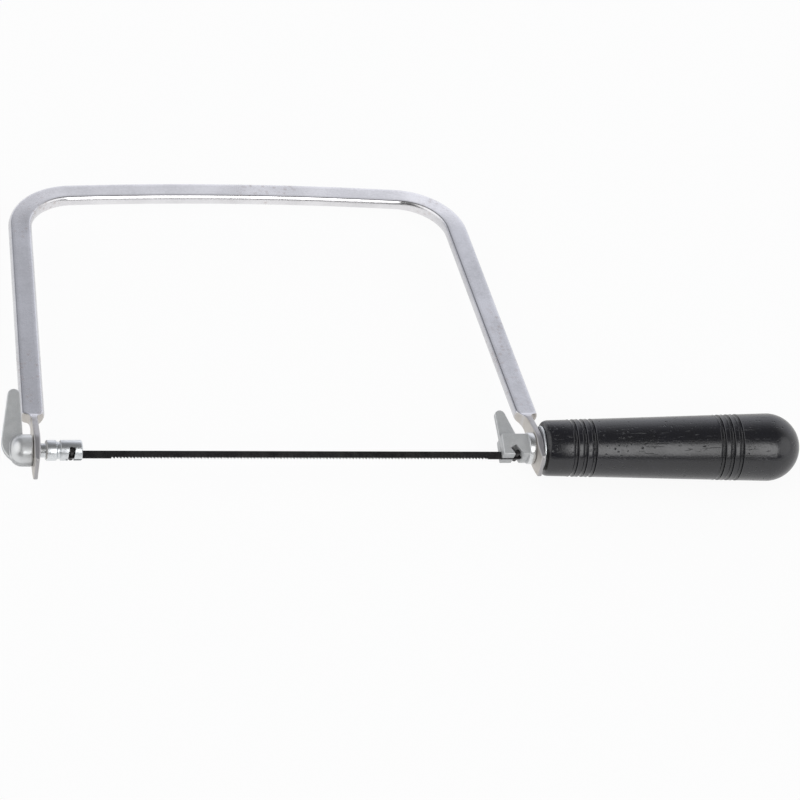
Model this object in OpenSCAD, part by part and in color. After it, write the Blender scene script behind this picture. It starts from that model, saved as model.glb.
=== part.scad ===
// Coping saw: a bow frame of bright flat bar, a pinned blade hooked into two
// blade holders that turn in the frame's ends, and a turned wooden handle that
// screws onto the rear holder's stud and draws the blade tight.
// The saw lies on its side. +X runs along the blade to the handle, +Y from the
// blade to the top bar and +Z up. The origin is on the floor, under the middle
// of the saw. Sizes are in millimetres and angles in degrees.

/* [Blade] */
// Distance between the two blade pins, along the axis
pin_span = 162; // [120:1:200]
// Width of the blade, over its teeth
blade_w = 2.9; // [2.6:0.1:3.4]
// Thickness of the blade
blade_t = 0.5; // [0.3:0.05:0.8]
// Length of the blade past the middle of each pin
blade_tail = 2; // [1.6:0.1:2.2]
// Distance from one tooth to the next
tooth_pitch = 1.2; // [0.9:0.1:2]
// Depth of a tooth
tooth_depth = 0.65; // [0.3:0.05:0.9]
// Plain stretch of the blade behind the front pin
front_plain = 14.3; // [9:0.1:20]
// Plain stretch of the blade before the rear pin
rear_plain = 10; // [8:0.1:20]
// Diameter of a blade pin
pin_d = 1.9; // [1.5:0.05:2]
// Length of a blade pin
pin_l = 6.6; // [5:0.1:6.8]
// Turn of the blade and both holders out of the frame's plane
blade_angle = 23; // [0:1:60]

/* [Front holder] */
// Diameter of the front spigot
spigot_d = 7.4; // [7:0.1:8]
// Length of the spigot's nose past the pin
spigot_nose = 3.7; // [3:0.1:5]
// Length of the spigot's body, up to its groove
spigot_body = 8; // [7:0.1:10]
// Width of the groove
groove_w = 0.8; // [0.5:0.1:1.5]
// Depth of the groove
groove_depth = 0.6; // [0.3:0.1:1]
// Width of the ring behind the groove
ring_w = 4.1; // [3:0.1:6]
// Chamfer on the spigot's edges
spigot_chamfer = 0.4; // [0.2:0.1:0.8]
// Diameter of the neck that turns in the frame
neck_d = 5; // [4:0.1:5.4]
// Length of bare neck between the ring and the frame
neck_gap = 2.2; // [0.6:0.05:3]
// Distance of the front pin from the axis
front_pin_drop = 1.6; // [1:0.1:1.8]
// Lean of the front hook notch
front_notch_lean = 10; // [0:1:20]
// Room between the front pin and the closed end of its notch
front_notch_room = 0.15; // [0.1:0.05:0.4]
// Diameter of the lever's domed boss
boss_d = 11.4; // [10:0.1:13]
// Length of the boss
boss_l = 7.7; // [6.5:0.1:10]
// Radius of the boss's domed end
dome_r = 4.3; // [2:0.1:4.8]
// Depth of the neck in the boss
neck_seat = 4.7; // [3:0.1:5]
// Length of the front lever, from the axis
front_lever_l = 23.8; // [18:0.1:28]
// Radius of the front lever's round foot
front_foot_r = 8.2; // [7:0.1:9]
// Distance of the middle of that foot from the boss's face
front_foot_back = 2.3; // [1.5:0.1:4]
// Height of the middle of that foot above the axis
front_foot_up = 2.9; // [2:0.1:4]
// Radius of the front lever's tip
front_tip_r = 2.25; // [1.5:0.05:2.6]
// Thickness of the front lever
front_lever_t = 2; // [1.5:0.1:3]

/* [Rear holder] */
// Width and height of the square block
block_s = 8.2; // [7.6:0.1:9]
// Length of the block, up to its collar
block_l = 9.7; // [9:0.1:13]
// Length of the block's nose past the pin
block_nose = 5.4; // [4:0.1:6]
// Diameter of the collar
collar_d = 11.6; // [10:0.1:13]
// Width of the collar
collar_w = 2.4; // [1.5:0.1:3]
// Distance of the rear pin from the axis
rear_pin_drop = 2.9; // [2.4:0.1:3.2]
// Lean of the rear hook notch
rear_notch_lean = 28; // [15:1:35]
// Room between the rear pin and the closed end of its notch
rear_notch_room = 0.9; // [0.3:0.05:1.2]
// Top of the blade slit, from the axis
slit_top = 0.35; // [0:0.05:0.8]
// Length of the rear lever, from the axis
rear_lever_l = 14.9; // [12:0.1:17]
// Radius of the rear lever's foot
rear_foot_r = 3.9; // [3:0.1:4.5]
// Radius of the rear lever's tip
rear_tip_r = 1.95; // [1.5:0.05:2.5]
// Lead of the rear lever's tip over the block's end
rear_tip_lead = 0.8; // [0:0.1:2]
// Thickness of the rear lever
rear_lever_t = 2; // [1.5:0.1:3]
// Diameter of the threaded stud
stud_d = 6; // [5:0.1:6.4]
// Length of the stud in the collar and block
stud_seat = 3.4; // [2:0.1:3.8]
// Length of the stud past the collar
stud_l = 30; // [24:0.5:45]

/* [Frame] */
// Height of the top bar's middle above the axis
frame_depth = 147.6; // [90:0.1:220]
// Lean of both arms towards each other
arm_lean = 3; // [0:0.1:6]
// Radius of the bends, at the bar's middle
bend_r = 21.6; // [12:0.1:40]
// Radius of the top bar's gentle bow, at the bar's middle
bow_r = 1000; // [400:10:4000]
// Width of the bar in the frame's plane, over its convex edges
bar_w = 8.8; // [7.6:0.1:11]
// Height of one convex edge
bar_bulge = 0.9; // [0.3:0.1:1.4]
// Thickness of the bar
bar_t = 4.3; // [3:0.1:6]
// Height of the shoulder where an arm is forged flat
shoulder = 17; // [15:0.5:30]
// Radius of the shoulder's round underside
shoulder_r = 5.5; // [5:0.1:8]
// Thickness of a forged tab
tab_t = 2.3; // [1.8:0.1:3.5]
// Radius of a tab round its hole
tab_r = 6.7; // [5.5:0.1:8]
// Reach of a tab below the axis
tab_reach = 10.4; // [8:0.1:11]
// Width of a tab's straight lower end, over its corners
tab_end_w = 10.4; // [7:0.1:12]
// Radius of a tab's lower corners
tab_corner_r = 1.6; // [0.8:0.1:2.5]
// Lean of the front tab, in line with its arm; the rear tab is square to the axis
front_tab_lean = 3; // [0:0.5:5]
// Distance of the front arm's middle line outside its tab, on the axis
front_arm_set = 0.5; // [0:0.05:2]
// Distance of the rear arm's middle line outside its tab, on the axis
rear_arm_set = 0.6; // [0:0.05:2]

/* [Handle] */
// Length of the handle
handle_l = 98.5; // [80:0.5:130]
// Diameter of the handle at its front
handle_front_d = 20.2; // [18:0.1:24]
// Diameter of the handle where its round end starts
handle_end_d = 25; // [22:0.1:30]
// Rounding of the handle's front edge
handle_round = 1.8; // [0.5:0.1:2.5]
// Distance of the front grooves' middle from the handle's front
front_grooves_at = 14; // [8:0.1:20]
// Distance of the rear grooves' middle from the handle's front
rear_grooves_at = 69.6; // [55:0.1:75]
// Distance from one groove to the next
groove_pitch = 3.45; // [2:0.05:4]
// Radius of a groove's round bottom
groove_r = 0.75; // [0.4:0.05:1]
// Diameter of the threaded bush
insert_d = 9; // [8:0.1:11]
// Length of the threaded bush
insert_l = 14; // [8:0.5:18]
// Diameter of the thrust washer
washer_d = 16.4; // [12:0.1:18]
// Thickness of the thrust washer
washer_t = 0.8; // [0.5:0.1:1.5]

/* [Fits] */
// Running clearance round a turning neck or stud
run_clear = 0.08; // [0.04:0.01:0.1]
// Clearance round a pressed or cast-in piece
press_clear = 0.02; // [0.01:0.01:0.04]
// Clearance on each side of the blade and its pins in a holder
blade_clear = 0.12; // [0.08:0.01:0.2]
// Clearance between faces that turn on each other
face_clear = 0.06; // [0.04:0.01:0.2]
// Clearance between the front lever and the arm that it passes
pass_clear = 0.32; // [0.3:0.02:1]
// Room in the handle past the end of the stud
stud_room = 1; // [0.5:0.5:4]

/* [Hidden] */
$fn = 64;
// Facets of a full turn of the top bar's bow
bow_fn = 720;
// How far a cut runs past the solid that it cuts
overrun = 1;
// Loss of the bar's thickness in a bend, on each side
bend_thinning = 0.05;
// Turn by which a bend runs into the straight bar at each end
bend_overlap = 1;
// Grooves in a group, either side of the middle one
grooves_each_side = 1;
// Place of a tooth's tip along its pitch
tooth_tip_share = 0.78;

// Places along the axis, from midway between the blade pins
front_pin_x = -pin_span / 2;
rear_pin_x = pin_span / 2;
spigot_end_x = front_pin_x + spigot_nose;
body_x = spigot_end_x - spigot_body;
groove_x = body_x - groove_w;
ring_x = groove_x - ring_w;
front_tab_x = ring_x - neck_gap - tab_t / 2;
boss_face_x = front_tab_x - tab_t / 2 / cos(front_tab_lean) - tan(front_tab_lean) * boss_d / 2 - face_clear;
neck_end_x = boss_face_x - neck_seat;
boss_end_x = boss_face_x - boss_l;
block_x = rear_pin_x - block_nose;
collar_x = block_x + block_l;
collar_end_x = collar_x + collar_w;
rear_tab_x = collar_end_x + face_clear + tab_t / 2;
washer_x = rear_tab_x + tab_t / 2 + face_clear;
handle_x = washer_x + washer_t + face_clear;
handle_end_x = handle_x + handle_l;
stud_x = collar_end_x - stud_seat;
stud_end_x = collar_end_x + stud_l;

// Frame
front_arm_x = front_tab_x - front_arm_set;
rear_arm_x = rear_tab_x + rear_arm_set;
arm_dir = [sin(arm_lean), cos(arm_lean)];
bow_mid = [(front_arm_x + rear_arm_x) / 2, frame_depth - bow_r];
bend_foot = [front_arm_x + bend_r * cos(arm_lean), -bend_r * sin(arm_lean)] - bow_mid;
bend_rise = bend_foot * arm_dir;
bend_start = sqrt(pow(bow_r - bend_r, 2) - bend_foot * bend_foot + bend_rise * bend_rise) - bend_rise;
bend_mid = bend_foot + bend_start * arm_dir;
bow_half_turn = atan2(bend_mid[1], bend_mid[0]) - 90;
bend_turn = 90 - arm_lean - bow_half_turn;
bar_flat = bar_w - 2 * bar_bulge;
bulge_r = (bar_t * bar_t / 4 + bar_bulge * bar_bulge) / (2 * bar_bulge);
tab_top = shoulder + bar_t / 2;

// Front lever: its inner edge passes outside the full width of the arm
lever_edge_x = front_arm_x + tan(arm_lean) * shoulder - bar_w / 2 / cos(arm_lean) - pass_clear;
front_foot = [boss_face_x - front_foot_back, front_foot_up];
front_tip = [lever_edge_x - front_tip_r, front_lever_l - front_tip_r];

// Rear lever
rear_foot = [block_x + rear_foot_r, block_s / 2 - rear_foot_r];
rear_tip = [block_x - rear_tip_lead + rear_tip_r, rear_lever_l - rear_tip_r];

// Blade
blade_sink = rear_pin_drop - front_pin_drop;
blade_l = norm([pin_span, blade_sink]);
blade_slope = -atan(blade_sink / pin_span);
tooth_count = floor((blade_l - front_plain - rear_plain) / tooth_pitch);
slit_w = blade_t + 2 * blade_clear;
notch_w = pin_d + 2 * blade_clear;
slit_end_x = rear_pin_x + blade_tail + blade_clear;

// Handle
handle_r = handle_end_d / 2;
dome_x = handle_end_x - handle_r;
handle_bore_d = stud_d + 2 * run_clear;

// Middle of the saw, and the floor that the handle lies on
saw_front_x = front_foot[0] - front_foot_r;
mid_x = (saw_front_x + handle_end_x) / 2;
mid_y = (frame_depth + bar_w / 2 - handle_r) / 2;

// Moves a shape from the axis to its place on the floor
module on_floor() {
    translate([-mid_x, -mid_y, handle_r]) children();
}

// Turns a shape about the axis into the blade's plane
module in_blade_plane() {
    rotate([blade_angle, 0, 0]) children();
}

// Lays a shape that was turned about Z along the axis
module along_axis() {
    rotate([0, 90, 0]) children();
}

// Round bar on the axis
module rod(x0, x1, d) {
    translate([x0, 0, 0]) along_axis() cylinder(d = d, h = x1 - x0);
}

// Direction from a circle's middle to where its common edge with another circle
// touches it, on the left (side 1) or the right (side -1) of the way between them
function edge_dir(a, ra, b, rb, side) =
    let (turn = atan2(b[1] - a[1], b[0] - a[0]) + side * acos((ra - rb) / norm(b - a)))
    [cos(turn), sin(turn)];

// Flat bar with two round ends of different size
module round_link(a, ra, b, rb) {
    left = edge_dir(a, ra, b, rb, 1);
    right = edge_dir(a, ra, b, rb, -1);
    translate(a) circle(ra);
    translate(b) circle(rb);
    polygon([a + ra * left, b + rb * left, b + rb * right, a + ra * right]);
}

// Section of the bar, thinned all round: two flat faces and two convex edges
module bar_section(thinning = 0) {
    w = bar_w - 2 * thinning;
    t = bar_t - 2 * thinning;
    square([bar_flat, t], center = true);
    for (side = [-1, 1])
        intersection() {
            translate([side * (w / 2 - bulge_r), 0]) circle(bulge_r);
            translate([side * w / 4, 0]) square([w / 2, t], center = true);
        }
}

// Outline that rounds an arm's lower end, in the frame's plane
module shoulder_outline() {
    translate([0, shoulder + shoulder_r]) circle(shoulder_r);
    translate([-shoulder_r, shoulder + shoulder_r]) square([2 * shoulder_r, bend_start - shoulder]);
}

// Outline of a forged tab, seen along the axis: round at its hole, narrow at the
// shoulder and straight at its lower end
module tab_outline() {
    hole = [0, 0];
    neck = [tab_top - bar_t / 2, 0];
    corner = [tab_corner_r - tab_reach, tab_end_w / 2 - tab_corner_r];
    flare = edge_dir(hole, tab_r, neck, bar_t / 2, 1);
    side = edge_dir(hole, tab_r, corner, tab_corner_r, -1);
    half = [
        [tab_top, bar_t / 2 * flare[1]], neck + bar_t / 2 * flare, tab_r * flare, tab_r * side,
        corner + tab_corner_r * side, [-tab_reach, corner[1]]
    ];
    circle(tab_r);
    for (z = [-1, 1])
        translate([corner[0], z * corner[1]]) circle(tab_corner_r);
    polygon(concat(half, [for (i = [len(half) - 1 : -1 : 0]) [half[i][0], -half[i][1]]]));
}

// Forged tab in the frame's plane: a straight plate through its hole, up into the arm
module tab(arm_set, lean) {
    half = tab_t / 2 / cos(lean);
    foot = -tab_reach - overrun;
    low = arm_set + foot * tan(lean);
    high = arm_set + tab_top * tan(lean);
    intersection() {
        linear_extrude(2 * tab_r + overrun, center = true) polygon([
            [low - half, foot], [low + half, foot], [high + half, tab_top], [high - half, tab_top]
        ]);
        rotate([90, 0, 90]) linear_extrude(2 * bar_w, center = true) tab_outline();
    }
}

// One arm with its tab and bend, standing at the axis and leaning by arm_lean
module arm(arm_set, tab_lean) {
    tab(arm_set, tab_lean);
    rotate([0, 0, -arm_lean]) {
        intersection() {
            translate([0, bend_start, 0]) rotate([90, 0, 0]) linear_extrude(bend_start - shoulder) bar_section();
            linear_extrude(2 * bar_t, center = true) shoulder_outline();
        }
        translate([bend_r, bend_start, 0])
            rotate([0, 0, 180 - bend_turn - bend_overlap])
                rotate_extrude(angle = bend_turn + 2 * bend_overlap)
                    translate([bend_r, 0]) bar_section(bend_thinning);
    }
}

module frame() {
    color("silver") on_floor() difference() {
        union() {
            translate([front_arm_x, 0, 0]) arm(front_arm_set, front_tab_lean);
            translate([rear_arm_x, 0, 0]) mirror([1, 0, 0]) arm(rear_arm_set, 0);
            translate(bow_mid) rotate([0, 0, 90 - bow_half_turn])
                rotate_extrude(angle = 2 * bow_half_turn, $fn = bow_fn) translate([bow_r, 0]) bar_section();
        }
        rod(front_tab_x - tab_t, front_tab_x + tab_t, neck_d + 2 * run_clear);
        rod(rear_tab_x - tab_t, rear_tab_x + tab_t, stud_d + 2 * run_clear);
    }
}

// Slanted hook notch: round at its closed end, open on the blade's toothed side
module hook_notch(pin_at, lean, room, reach) {
    translate(pin_at) rotate([0, 0, lean]) translate([0, room - blade_clear, 0]) {
        cylinder(d = notch_w, h = 2 * reach, center = true);
        translate([-notch_w / 2, -reach, -reach]) cube([notch_w, reach, 2 * reach]);
    }
}

// Slit for the blade, open on the blade's toothed side
module blade_slit(x0, x1, reach) {
    translate([x0, -reach, -slit_w / 2]) cube([x1 - x0, reach + slit_top, slit_w]);
}

module front_spigot() {
    neck_r = neck_d / 2;
    full_r = spigot_d / 2;
    groove_floor_r = full_r - groove_depth;
    cut = spigot_chamfer;
    color("gainsboro") on_floor() in_blade_plane() difference() {
        along_axis() rotate_extrude() polygon([
            [0, neck_end_x], [neck_r, neck_end_x], [neck_r, ring_x],
            [full_r - cut, ring_x], [full_r, ring_x + cut], [full_r, groove_x - cut],
            [groove_floor_r, groove_x], [groove_floor_r, body_x],
            [full_r, body_x + cut], [full_r, spigot_end_x - cut],
            [full_r - cut, spigot_end_x], [0, spigot_end_x]
        ]);
        blade_slit(front_pin_x - blade_tail - blade_clear, spigot_end_x + overrun, spigot_d);
        hook_notch([front_pin_x, -front_pin_drop, 0], -front_notch_lean, front_notch_room, spigot_d);
    }
}

module front_lever() {
    color("darkgray") on_floor() in_blade_plane() difference() {
        union() {
            along_axis() rotate_extrude() intersection() {
                union() {
                    translate([boss_d / 2 - dome_r, boss_end_x + dome_r]) circle(dome_r);
                    translate([0, boss_end_x]) square([boss_d / 2 - dome_r, boss_l]);
                    translate([0, boss_end_x + dome_r]) square([boss_d / 2, boss_l - dome_r]);
                }
                translate([0, boss_end_x]) square([boss_d / 2, boss_l]);
            }
            linear_extrude(front_lever_t, center = true) intersection() {
                round_link(front_foot, front_foot_r, front_tip, front_tip_r);
                translate([saw_front_x, -front_foot_r])
                    square([lever_edge_x - saw_front_x, front_foot_r + front_lever_l]);
            }
        }
        rod(neck_end_x - press_clear, boss_face_x + overrun, neck_d + 2 * press_clear);
    }
}

// Lays a shape along the blade, from the front pin
module along_blade() {
    translate([front_pin_x, -front_pin_drop, 0]) rotate([0, 0, blade_slope]) children();
}

module blade() {
    low = -blade_w / 2;
    root = low + tooth_depth;
    teeth_end = front_plain + tooth_count * tooth_pitch;
    color("dimgray") on_floor() in_blade_plane() along_blade()
        linear_extrude(blade_t, center = true) difference() {
            polygon(concat(
                [[-blade_tail, -low], [-blade_tail, low], [front_plain, low]],
                [for (i = [0 : tooth_count - 1], tip = [0, 1])
                    [front_plain + (i + tip * tooth_tip_share) * tooth_pitch, tip == 1 ? low : root]],
                [[teeth_end, root], [teeth_end, low], [blade_l + blade_tail, low], [blade_l + blade_tail, -low]]
            ));
            for (at = [0, blade_l])
                translate([at, 0]) circle(d = pin_d + 2 * press_clear);
        }
}

// Cross pin of the blade, at a distance along it from the front pin
module blade_pin(at) {
    color("dimgray") on_floor() in_blade_plane() along_blade()
        translate([at, 0, 0]) cylinder(d = pin_d, h = pin_l, center = true);
}

module front_blade_pin() {
    blade_pin(0);
}

module rear_blade_pin() {
    blade_pin(blade_l);
}

module rear_spigot() {
    color("darkgray") on_floor() in_blade_plane() difference() {
        union() {
            translate([block_x, -block_s / 2, -block_s / 2]) cube([block_l, block_s, block_s]);
            rod(collar_x, collar_end_x, collar_d);
            linear_extrude(rear_lever_t, center = true)
                round_link(rear_foot, rear_foot_r, rear_tip, rear_tip_r);
        }
        blade_slit(block_x - overrun, slit_end_x, block_s);
        hook_notch([rear_pin_x, -rear_pin_drop, 0], rear_notch_lean, rear_notch_room, block_s);
        rod(stud_x - press_clear, collar_end_x + overrun, stud_d + 2 * press_clear);
    }
}

module tension_screw() {
    color("silver") on_floor() rod(stud_x, stud_end_x, stud_d);
}

module thrust_washer() {
    color("gainsboro") on_floor() difference() {
        rod(washer_x, washer_x + washer_t, washer_d);
        rod(washer_x - overrun, washer_x + washer_t + overrun, stud_d + 2 * run_clear);
    }
}

module handle_insert() {
    color("goldenrod") on_floor() difference() {
        rod(handle_x, handle_x + insert_l, insert_d);
        rod(handle_x - overrun, handle_x + insert_l + overrun, handle_bore_d);
    }
}

// Half section of the handle: a straight taper, a rounded front edge and a round end
module handle_section() {
    front_r = handle_front_d / 2;
    function taper_r(x) = front_r + (handle_r - front_r) * (x - handle_x) / (dome_x - handle_x);
    difference() {
        union() {
            polygon([
                [0, handle_x], [front_r - handle_round, handle_x],
                [front_r - handle_round, handle_x + handle_round], [front_r, handle_x + handle_round],
                [handle_r, dome_x], [0, dome_x]
            ]);
            translate([front_r - handle_round, handle_x + handle_round]) circle(handle_round);
            intersection() {
                translate([0, dome_x]) circle(handle_r);
                translate([0, dome_x]) square(handle_r);
            }
        }
        for (group = [front_grooves_at, rear_grooves_at], i = [-grooves_each_side : grooves_each_side]) {
            x = handle_x + group + i * groove_pitch;
            translate([taper_r(x), x]) circle(groove_r);
        }
    }
}

module handle() {
    color([0.09, 0.09, 0.1]) on_floor() difference() {
        along_axis() rotate_extrude() handle_section();
        rod(handle_x - overrun, handle_x + insert_l + press_clear, insert_d + 2 * press_clear);
        rod(handle_x, stud_end_x + stud_room, handle_bore_d);
    }
}

frame();
front_spigot();
front_lever();
blade();
front_blade_pin();
rear_blade_pin();
rear_spigot();
tension_screw();
thrust_washer();
handle_insert();
handle();
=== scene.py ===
"""Looks of the coping saw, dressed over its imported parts.

Shapes are laid out in saw millimetres: X runs along the blade's axis with zero midway
between the blade pins, Y from the blade to the top bar, and Z up off the floor.
"""

import math

import bmesh
import bpy
import numpy as np
from mathutils import Matrix, Vector


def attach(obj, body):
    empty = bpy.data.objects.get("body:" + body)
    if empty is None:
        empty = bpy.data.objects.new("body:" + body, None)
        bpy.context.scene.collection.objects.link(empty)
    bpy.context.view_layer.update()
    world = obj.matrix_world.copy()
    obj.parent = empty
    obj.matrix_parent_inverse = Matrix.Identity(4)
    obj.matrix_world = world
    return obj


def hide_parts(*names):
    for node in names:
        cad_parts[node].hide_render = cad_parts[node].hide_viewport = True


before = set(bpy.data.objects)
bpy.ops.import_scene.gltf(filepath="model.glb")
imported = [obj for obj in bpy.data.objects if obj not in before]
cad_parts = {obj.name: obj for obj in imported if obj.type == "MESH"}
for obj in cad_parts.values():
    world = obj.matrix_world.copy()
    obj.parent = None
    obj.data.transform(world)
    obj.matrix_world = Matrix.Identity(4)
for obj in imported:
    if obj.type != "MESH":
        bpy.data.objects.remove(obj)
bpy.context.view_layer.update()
scene = bpy.context.scene

# Sizes in millimetres and degrees
MM = 0.001
AXIS_AT = (-41.96, -69.75, 12.5)

PIN_SPAN = 162.0
PIN_D = 1.9
PIN_L = 6.6
PIN_EASE = 0.25
BLADE_W = 2.9
BLADE_T = 0.5
BLADE_TAIL = 2.0
BLADE_EASE = 0.1
BLADE_CORNER = 0.5
BLADE_TURN = 23.0
TOOTH_PITCH = 1.2
TOOTH_DEPTH = 0.65
TOOTH_TIP = 0.78
TOOTH_SET = 0.1
TOOTH_RUN_OUT = 0.3
FRONT_PLAIN = 14.3
REAR_PLAIN = 10.0
FRONT_PIN_DROP = 1.6
REAR_PIN_DROP = 2.9

SPIGOT_R = 3.7
SPIGOT_NOSE = 3.7
SPIGOT_BODY = 8.0
SPIGOT_EASE = 0.4
GROOVE_W = 0.8
GROOVE_DEPTH = 0.6
RING_W = 4.1
NECK_R = 2.5
NECK_GAP = 2.2
NECK_SEAT = 4.7
BOSS_R = 5.7
BOSS_L = 7.7
DOME_R = 4.3
FRONT_LEVER_L = 23.8
FRONT_FOOT_R = 8.2
FRONT_FOOT_BACK = 2.3
FRONT_FOOT_UP = 2.9
FRONT_TIP_R = 2.25
LEVER_T = 2.0
LEVER_RIM = 0.5
BOSS_EASE = 0.35

BLOCK_S = 8.2
BLOCK_L = 9.7
BLOCK_NOSE = 5.4
BLOCK_EASE = 0.32
BLOCK_LAP = 0.6
BLOCK_BEVEL = 0.16
BEVEL_FROM = 55.0
COLLAR_R = 5.8
COLLAR_W = 2.4
COLLAR_EASE = 0.3
REAR_LEVER_L = 14.9
REAR_FOOT_R = 3.9
REAR_TIP_R = 1.95
REAR_TIP_LEAD = 0.8
REAR_LEVER_RIM = 0.35
SLIT_TOP = 0.35
BLADE_CLEAR = 0.12
NOTCH_EASE = 0.3
STUD_R = 3.0
STUD_SEAT = 3.4
STUD_L = 30.0
THREAD_PITCH = 1.0
THREAD_DEPTH = 0.55
THREAD_START = 0.3
THREAD_RUN_IN = 0.8
THREAD_ROOT = 0.85
THREAD_ROWS = 10
STUD_CHAMFER = 0.9
STUD_EDGE = 0.01

TAB_T = 2.3
TAB_R = 6.7
TAB_REACH = 10.4
TAB_END_W = 10.4
TAB_CORNER_R = 1.6
TAB_EASE = 0.7
FRONT_TAB_LEAN = 3.0
REAR_TAB_LEAN = 0.0
SHOULDER = 17.0
BAR_W = 8.8
BAR_T = 4.3
BAR_BULGE = 0.9
BAR_EASE = 0.3
FRAME_DEPTH = 147.6
ARM_LEAN = 3.0
BEND_R = 21.6
BOW_R = 1000.0
FRONT_ARM_SET = 0.5
REAR_ARM_SET = 0.6

HANDLE_L = 98.5
HANDLE_FRONT_R = 10.1
HANDLE_END_R = 12.5
HANDLE_ROUND = 1.8
FRONT_GROOVES_AT = 14.0
REAR_GROOVES_AT = 69.6
GROOVE_PITCH = 3.45
TURNED_GROOVE_R = 0.75
BUSH_R = 4.5
BUSH_L = 14.0
BUSH_LEAD = 0.4
SEAT_LEAD = 0.25
WASHER_R = 8.2
WASHER_T = 0.8
WASHER_EASE = 0.3
WASHER_BORE_EASE = 0.12
RUN_CLEAR = 0.08
PRESS_CLEAR = 0.02
FACE_CLEAR = 0.06
PASS_CLEAR = 0.32
STUD_ROOM = 1.0

# Radius of the dot that closes a turned piece on its axis, and the same in a casting
DOT_R = 0.02
CAST_DOT_R = 0.05
# How far a cutter runs past what it cuts
CUT_PAST = 1.0

# Places along the axis
FRONT_PIN_X = -PIN_SPAN / 2
REAR_PIN_X = PIN_SPAN / 2
BLADE_SPAN = math.hypot(PIN_SPAN, REAR_PIN_DROP - FRONT_PIN_DROP)
SPIGOT_END_X = FRONT_PIN_X + SPIGOT_NOSE
BODY_X = SPIGOT_END_X - SPIGOT_BODY
GROOVE_X = BODY_X - GROOVE_W
RING_X = GROOVE_X - RING_W
FRONT_TAB_X = RING_X - NECK_GAP - TAB_T / 2
TAB_SLOPE = math.tan(math.radians(FRONT_TAB_LEAN))
BOSS_FACE_X = FRONT_TAB_X - TAB_T / 2 * math.hypot(1, TAB_SLOPE) - TAB_SLOPE * BOSS_R - FACE_CLEAR
NECK_END_X = BOSS_FACE_X - NECK_SEAT
BOSS_END_X = BOSS_FACE_X - BOSS_L
BLOCK_X = REAR_PIN_X - BLOCK_NOSE
COLLAR_X = BLOCK_X + BLOCK_L
COLLAR_END_X = COLLAR_X + COLLAR_W
REAR_TAB_X = COLLAR_END_X + FACE_CLEAR + TAB_T / 2
WASHER_X = REAR_TAB_X + TAB_T / 2 + FACE_CLEAR
HANDLE_X = WASHER_X + WASHER_T + FACE_CLEAR
HANDLE_END_X = HANDLE_X + HANDLE_L
STUD_X = COLLAR_END_X - STUD_SEAT
STUD_END_X = COLLAR_END_X + STUD_L
FRONT_ARM_X = FRONT_TAB_X - FRONT_ARM_SET
REAR_ARM_X = REAR_TAB_X + REAR_ARM_SET


def lerp(a, b, t):
    return a + (b - a) * t


def ease(t):
    t = min(1.0, max(0.0, t))
    return t * t * (3 - 2 * t)


def spaced(a, b, steps):
    """Evenly spaced values, both ends included."""
    return [lerp(a, b, k / steps) for k in range(steps + 1)]


# Blanks: plain meshes in saw millimetres


def blank(name, verts, faces):
    """A mesh object from points and faces, with its normals facing out."""
    mesh = bpy.data.meshes.new(name)
    mesh.from_pydata([tuple(v) for v in verts], [], faces)
    shell = bmesh.new()
    shell.from_mesh(mesh)
    bmesh.ops.recalc_face_normals(shell, faces=shell.faces)
    shell.to_mesh(mesh)
    shell.free()
    piece = bpy.data.objects.new(name, mesh)
    scene.collection.objects.link(piece)
    return piece


def skin(rings, closed=False):
    """Points and faces that join equal rings of points, with both ends capped unless closed."""
    count = len(rings[0])
    verts = [tuple(p) for ring in rings for p in ring]
    faces = []
    spans = len(rings) if closed else len(rings) - 1
    for i in range(spans):
        low = i * count
        high = (i + 1) % len(rings) * count
        for k in range(count):
            nxt = (k + 1) % count
            faces.append((low + k, low + nxt, high + nxt, high + k))
    if not closed:
        faces.append(tuple(range(count - 1, -1, -1)))
        faces.append(tuple(range(len(verts) - count, len(verts))))
    return verts, faces


def turned(name, profile, sides, closed=False):
    """A piece turned about the axis from its (x, radius) profile."""
    around = [2 * math.pi * k / sides for k in range(sides)]
    rings = [[(x, r * math.cos(a), r * math.sin(a)) for a in around] for x, r in profile]
    return blank(name, *skin(rings, closed))


def bore(name, x0, x1, radius, sides):
    """Cutter for a round hole along the axis."""
    return turned(name, [(x0, radius), (x1, radius)], sides)


def spot(mid, radius, degrees):
    """A point on a circle."""
    a = math.radians(degrees)
    return (mid[0] + radius * math.cos(a), mid[1] + radius * math.sin(a))


def arc(mid, radius, start_deg, stop_deg, steps):
    """Points on an arc, both ends included."""
    return [spot(mid, radius, a) for a in spaced(start_deg, stop_deg, steps)]


def eased(points, radius, steps, closed=True):
    """An outline with each corner rounded by radius, or by its own radius from a list."""
    points = [np.array(p, float) for p in points]
    made = []
    for i, p in enumerate(points):
        r = radius[i] if isinstance(radius, (list, tuple)) else radius
        if r <= 0 or (not closed and i in (0, len(points) - 1)):
            made.append(tuple(p))
            continue
        a = points[i - 1] - p
        b = points[(i + 1) % len(points)] - p
        a /= np.linalg.norm(a)
        b /= np.linalg.norm(b)
        half = math.acos(max(-1.0, min(1.0, float(a @ b)))) / 2
        if half > math.pi / 2 - 1e-4:
            made.append(tuple(p))
            continue
        reach = r / math.tan(half)
        mid = p + (a + b) / np.linalg.norm(a + b) * r / math.sin(half)
        start = p + a * reach - mid
        stop = p + b * reach - mid
        turn = math.atan2(start[0] * stop[1] - start[1] * stop[0], float(start @ stop))
        for k in range(steps + 1):
            c = math.cos(turn * k / steps)
            s = math.sin(turn * k / steps)
            made.append((mid[0] + start[0] * c - start[1] * s, mid[1] + start[0] * s + start[1] * c))
    return made


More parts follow.
